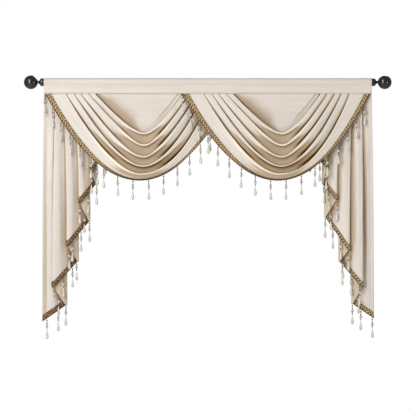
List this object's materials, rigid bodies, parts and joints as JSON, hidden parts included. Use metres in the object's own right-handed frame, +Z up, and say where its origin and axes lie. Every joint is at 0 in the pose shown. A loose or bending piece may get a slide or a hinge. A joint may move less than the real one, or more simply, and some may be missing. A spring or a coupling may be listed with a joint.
{
  "type": "swag and tail drape on a curtain rod",
  "caption": "Swag and tail drape: overlapping draped swags and pleated side tails with braid and bead drops, hung by a flat pocket heading on a rod with ball finials.",
  "frame": {"origin": "on the rod's axis, at the middle of its length", "axes": "+X along the rod to the right as seen from the room, +Y from the room towards the wall, +Z up"},
  "size_m": [1.6842, 0.1076, 1.2044],
  "materials": {
    "satin_cloth": "champagne satin with a soft sheen",
    "braid_and_beads": "gold-brown braid with glass and pearl bead drops",
    "black_lacquer": "glossy black"
  },
  "bodies": {
    "root": {"rod": "black_lacquer", "finial_left": "black_lacquer", "finial_right": "black_lacquer", "heading": "satin_cloth", "facing": "satin_cloth", "swag_left": "satin_cloth", "swag_right": "satin_cloth", "tail_left": "satin_cloth", "tail_right": "satin_cloth", "swag_left_beaded_braid": "braid_and_beads", "swag_right_beaded_braid": "braid_and_beads", "tail_left_beaded_braid": "braid_and_beads", "tail_right_beaded_braid": "braid_and_beads"}
  },
  "joints": []
}
